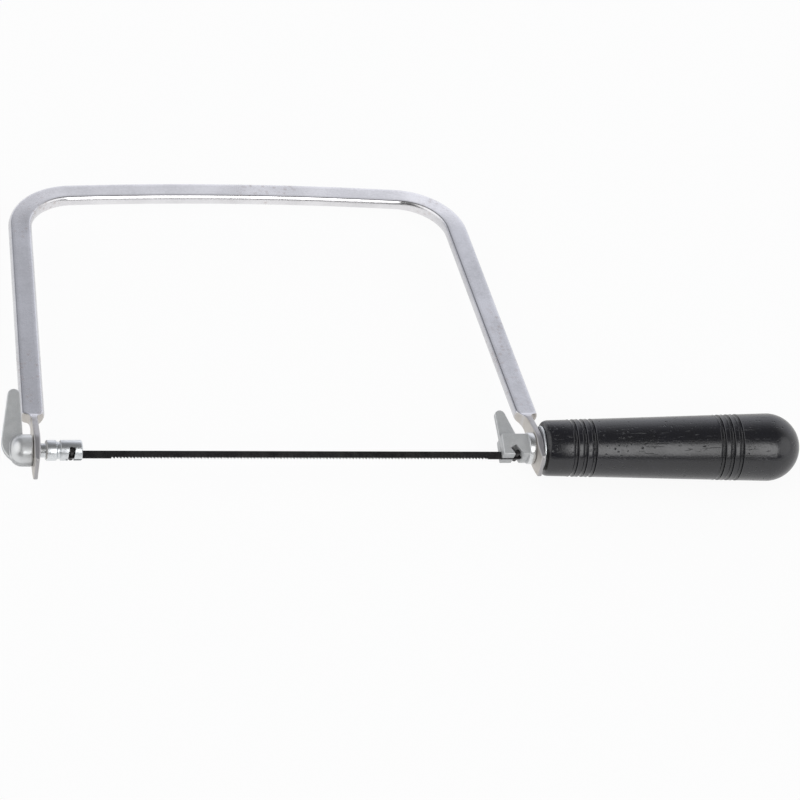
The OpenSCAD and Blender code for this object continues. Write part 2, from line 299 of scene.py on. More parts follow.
def rod(name, x0, x1, radius, rounds, steps, sides, dot=DOT_R):
    """A solid round piece along the axis, with the corner at each end rounded."""
    corners = [(x0, dot), (x0, radius), (x1, radius), (x1, dot)]
    return turned(name, eased(corners, [0, *rounds, 0], closed=False, steps=steps), sides)


def plate(name, outline, thick, rim=0.0, steps=4):
    """A flat plate cut to an outline that runs anticlockwise, with its rims rounded."""
    points = np.array(outline, float)
    along = np.roll(points, -1, 0) - np.roll(points, 1, 0)
    inward = np.stack([-along[:, 1], along[:, 0]], 1) / np.linalg.norm(along, axis=1)[:, None]
    rows = [(0.0, thick / 2), (0.0, -thick / 2)]
    if rim:
        turns = [math.pi / 2 * k / steps for k in range(steps + 1)]
        top = [(rim * (1 - math.sin(a)), thick / 2 - rim * (1 - math.cos(a))) for a in turns]
        rows = top + [(inset, -z) for inset, z in reversed(top)]
    rings = [[(*p, z) for p in points + inward * inset] for inset, z in rows]
    return blank(name, *skin(rings))


def edge_dir(a, ra, b, rb, side):
    """Turn, in degrees, from a circle's middle to where its common edge with another touches it."""
    gap = math.dist(a, b)
    way = math.degrees(math.atan2(b[1] - a[1], b[0] - a[0]))
    return way + side * math.degrees(math.acos((ra - rb) / gap))


def worked(piece, kind, **settings):
    """Runs one modifier on a blank and keeps its result."""
    step = piece.modifiers.new(kind.lower(), kind)
    for key, value in settings.items():
        setattr(step, key, value)
    graph = bpy.context.evaluated_depsgraph_get()
    made = bpy.data.meshes.new_from_object(piece.evaluated_get(graph), depsgraph=graph)
    piece.modifiers.clear()
    old = piece.data
    piece.data = made
    bpy.data.meshes.remove(old)


def combined(piece, others, operation):
    for other in others:
        worked(piece, "BOOLEAN", object=other, operation=operation, solver="EXACT")
        bpy.data.objects.remove(other)


def cut(piece, *cutters):
    combined(piece, cutters, "DIFFERENCE")


def welded(piece, *others):
    combined(piece, others, "UNION")


def poured(piece, other):
    """Puts two blanks that overlap into one mesh, for a casting to run together."""
    shell = bmesh.new()
    for part in (piece, other):
        shell.from_mesh(part.data)
    shell.to_mesh(piece.data)
    shell.free()
    bpy.data.objects.remove(other)


def cast(piece, grain, rounds):
    """Softens a blank as a die casting is soft: fine even faces, then a light smoothing."""
    worked(piece, "REMESH", mode="VOXEL", voxel_size=grain)
    worked(piece, "SMOOTH", factor=0.5, iterations=rounds)


def rotated(piece, degrees, axis):
    piece.data.transform(Matrix.Rotation(math.radians(degrees), 4, axis))
    return piece


def moved(piece, x=0.0, y=0.0, z=0.0):
    piece.data.transform(Matrix.Translation((x, y, z)))
    return piece


def painted(piece, name, values):
    """Stores a value for each point of a blank, for its material to use."""
    piece.data.attributes.new(name, "FLOAT", "POINT").data.foreach_set("value", values)


def in_blade_plane(piece):
    return rotated(piece, BLADE_TURN, "X")


def fitted(piece, body, node, finish, sharp_deg=32.0):
    """Puts a finished blank in its place in the shared frame, to ride on its body for its node."""
    piece.data.transform(Matrix.Scale(MM, 4) @ Matrix.Translation(AXIS_AT))
    piece.data.polygons.foreach_set("use_smooth", [True] * len(piece.data.polygons))
    piece.data.set_sharp_from_angle(angle=math.radians(sharp_deg))
    piece.data.materials.clear()
    piece.data.materials.append(finish)
    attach(piece, body)
    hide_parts(node)


# Materials


def new_group(name, inputs, outputs):
    """A shader node group with named values; returns it with what goes in and what comes out."""
    group = bpy.data.node_groups.new(name, "ShaderNodeTree")
    for label, value in inputs.items():
        kind = "NodeSocketVector" if isinstance(value, tuple) else "NodeSocketFloat"
        socket = group.interface.new_socket(label, in_out="INPUT", socket_type=kind)
        socket.default_value = value
    for label in outputs:
        group.interface.new_socket(label, in_out="OUTPUT", socket_type="NodeSocketFloat")
    source = group.nodes.new("NodeGroupInput").outputs
    sink = group.nodes.new("NodeGroupOutput").inputs
    return group, source, sink


def input_of(made, label):
    """A node's input by its name, with _ for a space, or by its place as i0, i1 and so on."""
    if label[0] == "i" and label[1:].isdigit():
        return made.inputs[int(label[1:])]
    return made.inputs[label.replace("_", " ")]


def plug(tree, wanted, value):
    """Links an input to another node's output, or sets its value."""
    if isinstance(value, bpy.types.NodeSocket):
        tree.links.new(value, wanted)
    else:
        wanted.default_value = (*value, 1.0) if wanted.type == "RGBA" else value


def node(tree, kind, settings=None, **sockets):
    """A node with its settings, its values and its links."""
    made = tree.nodes.new(kind)
    for key, value in (settings or {}).items():
        setattr(made, key, value)
    for label, value in sockets.items():
        plug(tree, input_of(made, label), value)
    return made


def maths(tree, operation, a, b):
    return node(tree, "ShaderNodeMath", {"operation": operation}, i0=a, i1=b).outputs[0]


def times(tree, a, b):
    return maths(tree, "MULTIPLY", a, b)


def plus(tree, a, b):
    return maths(tree, "ADD", a, b)


def minus(tree, a, b):
    return maths(tree, "SUBTRACT", a, b)


def clamped(tree, value):
    return node(tree, "ShaderNodeClamp", Value=value).outputs[0]


def band(tree, value, low, high, to_low=0.0, to_high=1.0):
    """A value eased from one range to another."""
    made = node(
        tree,
        "ShaderNodeMapRange",
        {"interpolation_type": "SMOOTHSTEP"},
        Value=value,
        From_Min=low,
        From_Max=high,
        To_Min=to_low,
        To_Max=to_high,
    )
    return made.outputs["Result"]


def blend(tree, mask, a, b):
    """One colour turning into another by a mask."""
    made = node(tree, "ShaderNodeMix", {"data_type": "RGBA"})
    for label, value in (("Factor_Float", mask), ("A_Color", a), ("B_Color", b)):
        plug(tree, next(s for s in made.inputs if s.identifier == label), value)
    return next(s for s in made.outputs if s.identifier == "Result_Color")


def mix_values(tree, mask, a, b):
    """One value turning into another by a mask."""
    return node(tree, "ShaderNodeMix", {"data_type": "FLOAT"}, i0=mask, i2=a, i3=b).outputs[0]


def noise(tree, where, scale, detail, rough):
    made = node(tree, "ShaderNodeTexNoise", Vector=where, Scale=scale, Detail=detail, Roughness=rough)
    return made.outputs["Fac"]


def mottle_group():
    """Cloudy patches with a finer speckle in them."""
    group, source, sink = new_group(
        "mottle",
        {"Place": (0, 0, 0), "Patch Scale": 60.0, "Speckle Scale": 900.0, "Speckle Share": 0.3},
        ("Patches", "Speckle"),
    )
    place = source["Place"]
    clouds = noise(group, place, source["Patch Scale"], 4.0, 0.6)
    grains = noise(group, place, source["Speckle Scale"], 2.0, 0.5)
    both = mix_values(group, source["Speckle Share"], clouds, grains)
    group.links.new(band(group, both, 0.34, 0.66), sink["Patches"])
    group.links.new(grains, sink["Speckle"])
    return group


def lines_group():
    """Fine scratches that run along one direction of the place that is given."""
    group, source, sink = new_group(
        "fine_lines",
        {"Place": (0, 0, 0), "Along And Across": (20, 3000, 3000), "Share": 0.4},
        ("Lines", "Scratches"),
    )
    run = node(
        group,
        "ShaderNodeVectorMath",
        {"operation": "MULTIPLY"},
        i0=source["Place"],
        i1=source["Along And Across"],
    ).outputs[0]
    strands = noise(group, run, 1.0, 3.0, 0.6)
    far = minus(group, 0.78, times(group, source["Share"], 0.3))
    marks = times(group, minus(group, strands, far), 9.0)
    group.links.new(strands, sink["Lines"])
    group.links.new(clamped(group, marks), sink["Scratches"])
    return group


def specks_group():
    """Small scattered pits or stains, gathered in places."""
    group, source, sink = new_group(
        "specks",
        {"Place": (0, 0, 0), "Speck Scale": 500.0, "Speck Size": 0.16, "Gather Scale": 70.0, "Gather": 0.55},
        ("Specks",),
    )
    place = source["Place"]
    cells = node(group, "ShaderNodeTexVoronoi", Vector=place, Scale=source["Speck Scale"])
    size = source["Speck Size"]
    small = maths(group, "DIVIDE", minus(group, size, cells.outputs["Distance"]), size)
    dots = clamped(group, small)
    clouds = noise(group, place, source["Gather Scale"], 2.0, 0.5)
    gathered = times(group, minus(group, clouds, source["Gather"]), 8.0)
    held = clamped(group, gathered)
    group.links.new(times(group, dots, held), sink["Specks"])
    return group


MOTTLE = mottle_group()
LINES = lines_group()
SPECKS = specks_group()


def use_group(tree, group, **sockets):
    return node(tree, "ShaderNodeGroup", {"node_tree": group}, **sockets).outputs


def new_finish(name, metallic, **constants):
    """A material with its Principled shader and the piece's own place."""
    material = bpy.data.materials.new(name)
    material.use_nodes = True
    tree = material.node_tree
    shader = next(n for n in tree.nodes if n.type == "BSDF_PRINCIPLED")
    shader.inputs["Metallic"].default_value = metallic
    for label, value in constants.items():
        input_of(shader, label).default_value = value
    place = tree.nodes.new("ShaderNodeTexCoord").outputs["Object"]
    return material, tree, shader, place


def paint_of(tree, name):
    """The value stored at each point of a piece."""
    return node(tree, "ShaderNodeAttribute", {"attribute_name": name}).outputs["Fac"]


def feed(tree, shader, **sockets):
    for label, value in sockets.items():
        tree.links.new(value, input_of(shader, label))


def bumped(tree, shader, height, strength, distance):
    made = node(tree, "ShaderNodeBump", Strength=strength, Distance=distance, Height=height)
    feed(tree, shader, Normal=made.outputs["Normal"])


def plated_bar_finish():
    """Plating over rolled bar: clouded, faintly lined, painted lighter on the top bar as painted light, dull
    where it is forged, and given the same dull tone under the shoulders as painted shade.
    """
    material, tree, shader, place = new_finish("plated_bar", 1.0)
    along_bar = node(tree, "ShaderNodeUVMap", {"uv_map": "along_bar"}).outputs["UV"]
    face = paint_of(tree, "forged_face_and_under_shade")
    rim = paint_of(tree, "forged_rim")
    clouds = use_group(tree, MOTTLE, Place=place, Patch_Scale=55.0, Speckle_Scale=900.0, Speckle_Share=0.26)
    drawn = use_group(tree, LINES, Place=along_bar, Along_And_Across=(60.0, 2400.0, 1.0), Share=0.5)
    stains = use_group(
        tree, SPECKS, Place=place, Speck_Scale=420.0, Speck_Size=0.4, Gather_Scale=34.0, Gather=0.53
    )
    # Painted light: the top bar and its bends get a lighter copy of the arms' plating tone.
    top = band(tree, node(tree, "ShaderNodeSeparateXYZ", Vector=place).outputs["Y"], 0.05, 0.076)
    arm_shaded_tone = blend(tree, clouds["Patches"], (0.54, 0.54, 0.562), (0.64, 0.64, 0.67))
    over = blend(tree, clouds["Patches"], (0.745, 0.735, 0.75), (0.85, 0.84, 0.855))
    plate_tone_lit_on_top = blend(tree, top, arm_shaded_tone, over)
    lined = blend(tree, times(tree, drawn["Lines"], 0.22), plate_tone_lit_on_top, (0.56, 0.56, 0.59))
    # The forged ends' dull tone, also painted under the shoulders as painted shade.
    dulled_and_shaded = blend(tree, times(tree, face, 0.9), lined, (0.56, 0.53, 0.495))
    dulled_and_shaded = blend(tree, times(tree, rim, 0.9), dulled_and_shaded, (0.43, 0.42, 0.425))
    warm = times(tree, stains["Specks"], 0.36)
    stained = blend(tree, warm, dulled_and_shaded, (0.42, 0.31, 0.27))
    satin = band(tree, clouds["Patches"], 0.0, 1.0, 0.27, 0.2)
    satin = plus(tree, satin, times(tree, stains["Specks"], 0.15))
    forged = times(tree, plus(tree, face, rim), 0.24)
    feed(tree, shader, Base_Color=stained, Roughness=plus(tree, satin, forged))
    relief = plus(tree, times(tree, clouds["Speckle"], 0.5), drawn["Lines"])
    bumped(tree, shader, relief, 0.06, 0.0001)
    return material


def turned_finish(name, patches, speckles, share, tool_lines, tones, satin, line_tone=None):
    """Turned metal with fine tool lines round it, darker in the lines where they have a tone."""
    material, tree, shader, place = new_finish(name, 1.0)
    clouds = use_group(
        tree, MOTTLE, Place=place, Patch_Scale=patches, Speckle_Scale=speckles, Speckle_Share=share
    )
    lines = use_group(tree, LINES, Place=place, Along_And_Across=(tool_lines, 60.0, 60.0), Share=0.5)
    tone = blend(tree, clouds["Patches"], *tones)
    if line_tone:
        tone = blend(tree, times(tree, lines["Lines"], 0.35), tone, line_tone)
    feed(tree, shader, Base_Color=tone, Roughness=band(tree, clouds["Patches"], 0.0, 1.0, *satin))
    bumped(tree, shader, lines["Lines"], 0.25, 0.00006)
    return material


def zinc_casting_finish():
    """Dull die-cast zinc, bright where it is rubbed, and lighter and glossier along its rims as a painted
    highlight.
    """
    material, tree, shader, place = new_finish("zinc_casting", 0.3)
    clouds = use_group(tree, MOTTLE, Place=place, Patch_Scale=260.0, Speckle_Scale=3000.0, Speckle_Share=0.45)
    pits = use_group(
        tree, SPECKS, Place=place, Speck_Scale=1500.0, Speck_Size=0.3, Gather_Scale=180.0, Gather=0.5
    )
    rubbed_and_rim_highlight = paint_of(tree, "rubbed_and_rim_highlight")
    tone = blend(tree, clouds["Patches"], (0.47, 0.48, 0.485), (0.56, 0.57, 0.575))
    pitted = blend(tree, times(tree, pits["Specks"], 0.5), tone, (0.34, 0.34, 0.34))
    # Rubbed places and rims turn lighter and metallic; on the rims this is a painted highlight.
    rubbed = blend(tree, rubbed_and_rim_highlight, pitted, (0.7, 0.71, 0.715))
    feed(tree, shader, Base_Color=rubbed, Metallic=band(tree, rubbed_and_rim_highlight, 0.0, 1.0, 0.3, 1.0))
    matte = band(tree, clouds["Speckle"], 0.25, 0.75, 0.6, 0.48)
    gloss = times(tree, rubbed_and_rim_highlight, 0.24)
    feed(tree, shader, Roughness=minus(tree, matte, gloss))
    grain = minus(tree, clouds["Speckle"], times(tree, pits["Specks"], 0.8))
    rest = minus(tree, 1.0, times(tree, rubbed_and_rim_highlight, 0.7))
    bumped(tree, shader, times(tree, grain, rest), 0.3, 0.00008)
    return material


def blade_steel_finish():
    """Blackened spring steel with a dull oily sheen."""
    material, tree, shader, place = new_finish("blade_steel", 0.9)
    clouds = use_group(tree, MOTTLE, Place=place, Patch_Scale=220.0, Speckle_Scale=2600.0, Speckle_Share=0.4)
    rolled = use_group(tree, LINES, Place=place, Along_And_Across=(120.0, 4200.0, 4200.0), Share=0.35)
    tone = blend(tree, clouds["Patches"], (0.028, 0.027, 0.028), (0.075, 0.072, 0.072))
    worn = blend(tree, times(tree, rolled["Scratches"], 0.4), tone, (0.16, 0.155, 0.15))
    feed(tree, shader, Base_Color=worn, Roughness=band(tree, clouds["Patches"], 0.0, 1.0, 0.5, 0.36))
    bumped(tree, shader, rolled["Lines"], 0.2, 0.00006)
    return material


def black_wood_finish():
    """Black lacquer sunk into the grain of the turned wood, with open pores and a few fine checks."""
    material, tree, shader, place = new_finish("black_wood", 0.0, IOR=1.5, Specular_IOR_Level=0.7)
    clouds = use_group(tree, MOTTLE, Place=place, Patch_Scale=80.0, Speckle_Scale=1400.0, Speckle_Share=0.3)
    pores = use_group(tree, LINES, Place=place, Along_And_Across=(320.0, 1900.0, 1900.0), Share=0.45)
    checks = use_group(tree, LINES, Place=place, Along_And_Across=(36.0, 1300.0, 1300.0), Share=0.36)
    pits = use_group(
        tree, SPECKS, Place=place, Speck_Scale=520.0, Speck_Size=0.24, Gather_Scale=60.0, Gather=0.47
    )
    tone = blend(tree, clouds["Patches"], (0.0048, 0.0048, 0.0072), (0.0088, 0.0088, 0.0132))
    checked = blend(tree, checks["Scratches"], tone, (0.002, 0.002, 0.002))
    sunk = plus(tree, times(tree, pores["Scratches"], 0.5), checks["Scratches"])
    low = plus(tree, sunk, times(tree, pits["Specks"], 1.2))
    sheen = band(tree, clouds["Patches"], 0.0, 1.0, 0.27, 0.2)
    satin = plus(tree, sheen, times(tree, low, 0.2))
    feed(tree, shader, Base_Color=checked, Roughness=satin)
    height = minus(tree, times(tree, clouds["Speckle"], 0.25), low)
    bumped(tree, shader, height, 0.7, 0.0002)
    return material


PLATED_BAR = plated_bar_finish()
TURNED_STEEL = turned_finish(
    "turned_steel",
    patches=350.0,
    speckles=2500.0,
    share=0.35,
    tool_lines=5200.0,
    tones=((0.62, 0.64, 0.66), (0.8, 0.82, 0.83)),
    satin=(0.4, 0.27),
    line_tone=(0.5, 0.52, 0.54),
)
ZINC_CASTING = zinc_casting_finish()
BLADE_STEEL = blade_steel_finish()
BRASS = turned_finish(
    "brass",
    patches=300.0,
    speckles=2400.0,
    share=0.3,
    tool_lines=4800.0,
    tones=((0.6, 0.42, 0.17), (0.8, 0.62, 0.3)),
    satin=(0.38, 0.24),
)
BLACK_WOOD = black_wood_finish()


# Frame: one bar swept from tab to tab, forged flat at both ends


FLAT_POINTS = 7
SIDE_POINTS = 9
CORNER_POINTS = 3


def bar_section(outer, inner, up_outer, up_inner, bulge_outer, bulge_inner, corner):
    """Points (out, up) round the bar, from its outward and inward reach and its half thickness there."""
    out_edge = outer - bulge_outer
    in_edge = inner + bulge_inner

    def side(edge, reach, half, from_top):
        turn = 1 - corner / half
        ups = spaced(turn, -turn, SIDE_POINTS - 1)
        points = [(edge + reach * (1 - t * t), half * t) for t in ups]
        return points if from_top else points[::-1]

    def face(sign, inward):
        outs = spaced(out_edge - corner, in_edge + corner, FLAT_POINTS - 1)
        ups = spaced(up_outer, up_inner, FLAT_POINTS - 1)
        points = [(out, sign * up) for out, up in zip(outs, ups)]
        return points if inward else points[::-1]

    def corner_turn(start, tip, stop):
        made = []
        for k in range(1, CORNER_POINTS + 1):
            t = k / (CORNER_POINTS + 1)
            w = ((1 - t) ** 2, 2 * t * (1 - t), t * t)
            made.append(tuple(w[0] * start[i] + w[1] * tip[i] + w[2] * stop[i] for i in (0, 1)))
        return made

    top = face(1, True)
    inside = side(in_edge, -bulge_inner, up_inner, True)
    bottom = face(-1, False)
    outside = side(out_edge, bulge_outer, up_outer, False)
    ring = list(top)
    ring += corner_turn(top[-1], (in_edge, up_inner), inside[0]) + inside
    ring += corner_turn(inside[-1], (in_edge, -up_inner), bottom[0]) + bottom
    ring += corner_turn(bottom[-1], (out_edge, -up_outer), outside[0]) + outside
    ring += corner_turn(outside[-1], (out_edge, up_outer), top[0])
    return ring


def forged_step(y, low, convex_h, concave_h, convex_share, fullness=0.5):
    """How far a side of the bar has stepped in to the tab at a height, from 0 at the bar to 1.

    A fullness of 0.5 makes round shoulders, and 1 a slack curve.
    """
    if y >= low + convex_h:
        return 0.0
    if y >= low:
        t = (low + convex_h - y) / convex_h
        return convex_share * (1 - max(0.0, 1 - t * t) ** fullness)
    if y >= low - concave_h:
        t = (y - low + concave_h) / concave_h
        return convex_share + (1 - convex_share) * max(0.0, 1 - t * t) ** fullness
    return 1.0


# Height where a tab starts to close in to the bar's thickness, and over what height
FLARE_LOW = 15.0
FLARE_H = 2.3


def tab_half_width(y):
    """Half the width of a tab, seen along the axis."""
    corner = (TAB_CORNER_R - TAB_REACH, TAB_END_W / 2 - TAB_CORNER_R)
    neck = (SHOULDER, 0.0)
    flare = edge_dir((0, 0), TAB_R, neck, BAR_T / 2, 1)
    flank = edge_dir((0, 0), TAB_R, corner, TAB_CORNER_R, -1)
    flare_a = spot((0, 0), TAB_R, flare)
    flare_b = spot(neck, BAR_T / 2, flare)
    flank_a = spot((0, 0), TAB_R, flank)
    flank_b = spot(corner, TAB_CORNER_R, flank)
    if y >= flare_b[0]:
        return flare_b[1]
    if y >= flare_a[0]:
        return lerp(flare_a[1], flare_b[1], (y - flare_a[0]) / (flare_b[0] - flare_a[0]))
    if y >= flank_a[0]:
        return math.sqrt(TAB_R**2 - y * y)
    if y >= flank_b[0]:
        return lerp(flank_b[1], flank_a[1], (y - flank_b[0]) / (flank_a[0] - flank_b[0]))
    return corner[1] + math.sqrt(max(0.0, TAB_CORNER_R**2 - (y - corner[0]) ** 2))


# Heights on a forged end: over its rounded foot, at its neck, round its shoulder and at the plain bar
FOOT_TOP = 3.6 - TAB_REACH
NECK_LOW = 8.0
SHOULDER_LOW = 12.0
SHOULDER_TOP = 22.0
FORGED_TOP = 26.0
FOOT_ROWS = 9
FOOT_ROW_H = 0.35
# How a tab thins on both sides towards its lower end
TAPER_LOW = -5.0
TAPER_OUT = 0.25
TAPER_IN = 0.5
# Most of a section's half width that its rounded corners may take
CORNER_SHARE = 0.6


def forged_end(foot_x, way, arm_set, tab_lean, outer_step, inner_step):
    """Rings from a tab's lower end up to the plain bar; way is 1 where inward is +X, else -1."""
    lean = math.radians(ARM_LEAN)
    half = BAR_W / 2 / math.cos(lean)
    heights = {-TAB_REACH + TAB_EASE * (1 - math.cos(math.radians(a))) for a in range(0, 91, 15)}
    heights |= {-TAB_REACH + TAB_EASE + k * FOOT_ROW_H for k in range(1, FOOT_ROWS + 1)}
    heights |= {*spaced(FOOT_TOP, NECK_LOW, 22), *spaced(NECK_LOW, SHOULDER_LOW, 6)}
    heights |= {*spaced(SHOULDER_LOW, SHOULDER_TOP, 50), *spaced(SHOULDER_TOP, FORGED_TOP, 2)}
    rows = sorted(heights)
    rows = [y for i, y in enumerate(rows) if i == 0 or y - rows[i - 1] > 0.01]
    rings = []
    for y in rows:
        line = y * math.tan(lean)
        tab_mid = arm_set + y * math.tan(math.radians(tab_lean))
        out_share = forged_step(y, *outer_step)
        in_share = forged_step(y, *inner_step)
        x_out = lerp(line - half, tab_mid - TAB_T / 2, out_share)
        x_in = lerp(line + half, tab_mid + TAB_T / 2, in_share)
        thinned = ease((TAPER_LOW - y) / (TAB_REACH + TAPER_LOW))
        x_out += TAPER_OUT * thinned
        x_in -= TAPER_IN * thinned
        lift = ease((y - FLARE_LOW) / FLARE_H)
        up = lerp(tab_half_width(y), BAR_T / 2, lift)
        draw_in = 0.0
        if y < -TAB_REACH + TAB_EASE:
            t = (-TAB_REACH + TAB_EASE - y) / TAB_EASE
            draw_in = TAB_EASE * (1 - math.sqrt(max(0.0, 1 - t * t)))
        corner = lerp(TAB_EASE, BAR_EASE, lift)
        mid = (x_out + x_in) / 2
        reach = (x_in - x_out) / 2 - draw_in
        corner = min(corner, CORNER_SHARE * reach, CORNER_SHARE * (up - draw_in))
        bulge_out = BAR_BULGE * (1 - out_share)
        bulge_in = BAR_BULGE * (1 - in_share)
        section = bar_section(reach, -reach, up - draw_in, up - draw_in, bulge_out, bulge_in, corner)
        tilt = lean * ease((y - NECK_LOW) / (FORGED_TOP - NECK_LOW))
        ring = []
        for out, z in section:
            local_x = mid - out * math.cos(tilt)
            local_y = y + out * math.sin(tilt)
            ring.append((foot_x + way * local_x, local_y, z))
        rings.append((y, ring))
    return rings


# How a bend changes the bar, as shares of its own sizes
BEND_THINNING = 0.05
BEND_SWELLING = 0.09
BEND_FLATTENING = 0.25
BEND_SOFTENING = 0.8
BEND_ONSET = 0.7
# Rows of points along the plain arm, each bend and the top bar
PLAIN_GAP = 4.0
ARM_ROWS = 9
BEND_ROWS = 24
BOW_ROWS = 16


def bow_rings():
    """Rings of the whole bar, from the front tab's end to the rear tab's, with the way along it."""
    lean = math.radians(ARM_LEAN)
    bow_mid = np.array([(FRONT_ARM_X + REAR_ARM_X) / 2, FRAME_DEPTH - BOW_R])
    arm_dir = np.array([math.sin(lean), math.cos(lean)])
    foot = np.array([FRONT_ARM_X + BEND_R * math.cos(lean), -BEND_R * math.sin(lean)]) - bow_mid
    rise = float(foot @ arm_dir)
    bend_start = math.sqrt((BOW_R - BEND_R) ** 2 - float(foot @ foot) + rise * rise) - rise
    bend_mid = foot + bend_start * arm_dir
    half_turn = math.degrees(math.atan2(bend_mid[1], bend_mid[0])) - 90
    bend_turn = 90 - ARM_LEAN - half_turn

    plain = bar_section(BAR_W / 2, -BAR_W / 2, BAR_T / 2, BAR_T / 2, BAR_BULGE, BAR_BULGE, BAR_EASE)

    def upset(share):
        """The bar's section in a bend, swollen inside and drawn thin outside."""
        return bar_section(
            BAR_W / 2,
            -BAR_W / 2,
            BAR_T / 2 * (1 - BEND_THINNING * share),
            BAR_T / 2 * (1 + BEND_SWELLING * share),
            BAR_BULGE,
            BAR_BULGE * (1 - BEND_FLATTENING * share),
            BAR_EASE * (1 + BEND_SOFTENING * share),
        )

    def placed(section, at, out_dir):
        return [(at[0] + o * out_dir[0], at[1] + o * out_dir[1], z) for o, z in section]

    def arm_side(foot_x, way, *end):
        run = forged_end(foot_x, way, *end)
        out_dir = (-way * math.cos(lean), math.sin(lean))
        for s in spaced(FORGED_TOP / math.cos(lean) + PLAIN_GAP, bend_start, ARM_ROWS):
            at = (foot_x + way * s * math.sin(lean), s * math.cos(lean))
            run.append((s, placed(plain, at, out_dir)))
        mid = (
            foot_x + way * (bend_start * math.sin(lean) + BEND_R * math.cos(lean)),
            bend_start * math.cos(lean) - BEND_R * math.sin(lean),
        )
        for k in range(1, BEND_ROWS + 1):
            turn = math.radians(bend_turn * k / BEND_ROWS)
            out = (-way * math.cos(lean + turn), math.sin(lean + turn))
            share = math.sin(math.pi * k / BEND_ROWS) ** BEND_ONSET if k < BEND_ROWS else 0.0
            at = (mid[0] + BEND_R * out[0], mid[1] + BEND_R * out[1])
            run.append((bend_start + BEND_R * turn, placed(upset(share), at, out)))
        return run

    front = arm_side(FRONT_ARM_X, 1, FRONT_ARM_SET, FRONT_TAB_LEAN, FRONT_OUTER_STEP, FRONT_INNER_STEP)
    rear = arm_side(REAR_ARM_X, -1, REAR_ARM_SET, REAR_TAB_LEAN, REAR_OUTER_STEP, REAR_INNER_STEP)
    top = []
    top_l = BOW_R * math.radians(2 * half_turn)
    for k in range(1, BOW_ROWS):
        turn = math.radians(lerp(90 + half_turn, 90 - half_turn, k / BOW_ROWS))
        out = (math.cos(turn), math.sin(turn))
        at = (bow_mid[0] + BOW_R * out[0], bow_mid[1] + BOW_R * out[1])
        top.append((front[-1][0] + top_l * k / BOW_ROWS, placed(plain, at, out)))
    whole = front[-1][0] * 2 + top_l
    return front + top + [(whole - s, ring) for s, ring in reversed(rear)]


# Each step: height of its underside, heights of its convex and concave curves, convex share of its depth,
# and its fullness where that isn't the usual one
FRONT_OUTER_STEP = (17.0, 1.4, 3.2, 0.3)
FRONT_INNER_STEP = (16.2, 3.2, 1.0, 0.78)
REAR_OUTER_STEP = (16.2, 1.8, 1.6, 0.55)
REAR_INNER_STEP = (16.2, 2.6, 4.4, 0.37, 1.0)
# Where the finish of the forged ends stops, and over what height it fades
FORGED_FINISH_TOP = 13.5
FORGED_FINISH_FADE = 2.5
# Over what height the painted shade under the shoulders fades; it is painted in the forged ends' dull tone
UNDER_SHADE_FADE = 1.5
TAB_HOLE_REACH = 3.0


def make_frame():
    rows = bow_rings()
    verts, faces = skin([ring for _, ring in rows])
    piece = blank("bow_frame", verts, faces)
    count = len(rows[0][1])
    around = [0.0]
    plain = rows[len(rows) // 2][1]
    for k in range(count):
        around.append(around[-1] + math.dist(plain[k], plain[(k + 1) % count]))
    sheet = piece.data.uv_layers.new(name="along_bar")
    for polygon in piece.data.polygons:
        spots = [piece.data.loops[i].vertex_index for i in polygon.loop_indices]
        wraps = max(v % count for v in spots) - min(v % count for v in spots) > count // 2
        for loop, v in zip(polygon.loop_indices, spots):
            k = v % count
            k = count if wraps and k == 0 else k
            sheet.data[loop].uv = (rows[v // count][0] * MM, around[k] * MM)
    for x, r in ((FRONT_TAB_X, NECK_R), (REAR_TAB_X, STUD_R)):
        cut(piece, bore("tab_hole", x - TAB_HOLE_REACH, x + TAB_HOLE_REACH, r + RUN_CLEAR, 64))
    forged = []
    rims = []
    for v in piece.data.vertices:
        tab = 1 - ease((v.co.y - FORGED_FINISH_TOP) / FORGED_FINISH_FADE)
        # Painted shade: the shoulders' undersides just above the tabs get the forged ends' dull tone.
        under_shade = (1 - ease((v.co.y - SHOULDER) / UNDER_SHADE_FADE)) * ease((-v.normal.y - 0.15) / 0.3)
        flat = ease((abs(v.normal.x) - 0.6) / 0.3)
        forged.append(max(tab * flat, under_shade * (1 - tab)))
        rims.append(tab * (1 - flat))
    painted(piece, "forged_face_and_under_shade", forged)
    painted(piece, "forged_rim", rims)
    fitted(piece, "frame", "frame", PLATED_BAR, sharp_deg=40.0)


# Blade holders and blade


# Each notch: its lean, the room past its pin and the slack beside it
FRONT_NOTCH = (-10.0, 0.15, 0.0)
REAR_NOTCH = (32.0, 1.7, 0.5)


def hook_notch(at, lean, room, slack, reach):
    """Cutter for a slanted hook notch: closed on the back of the blade, open on the toothed side."""
    half = PIN_D / 2 + BLADE_CLEAR
    top = PIN_D / 2 + room
    near = -half - slack
    corners = [(near, -reach), (half, -reach), (half, top), (near, top)]
    piece = plate("notch", eased(corners, [0, 0, NOTCH_EASE, NOTCH_EASE], steps=4), 3 * reach)
    return moved(rotated(piece, lean, "Z"), *at)


def blade_slit(x0, x1, reach):
    outline = [(x0, -reach), (x1, -reach), (x1, SLIT_TOP), (x0, SLIT_TOP)]
    return plate("slit", outline, BLADE_T + 2 * BLADE_CLEAR)


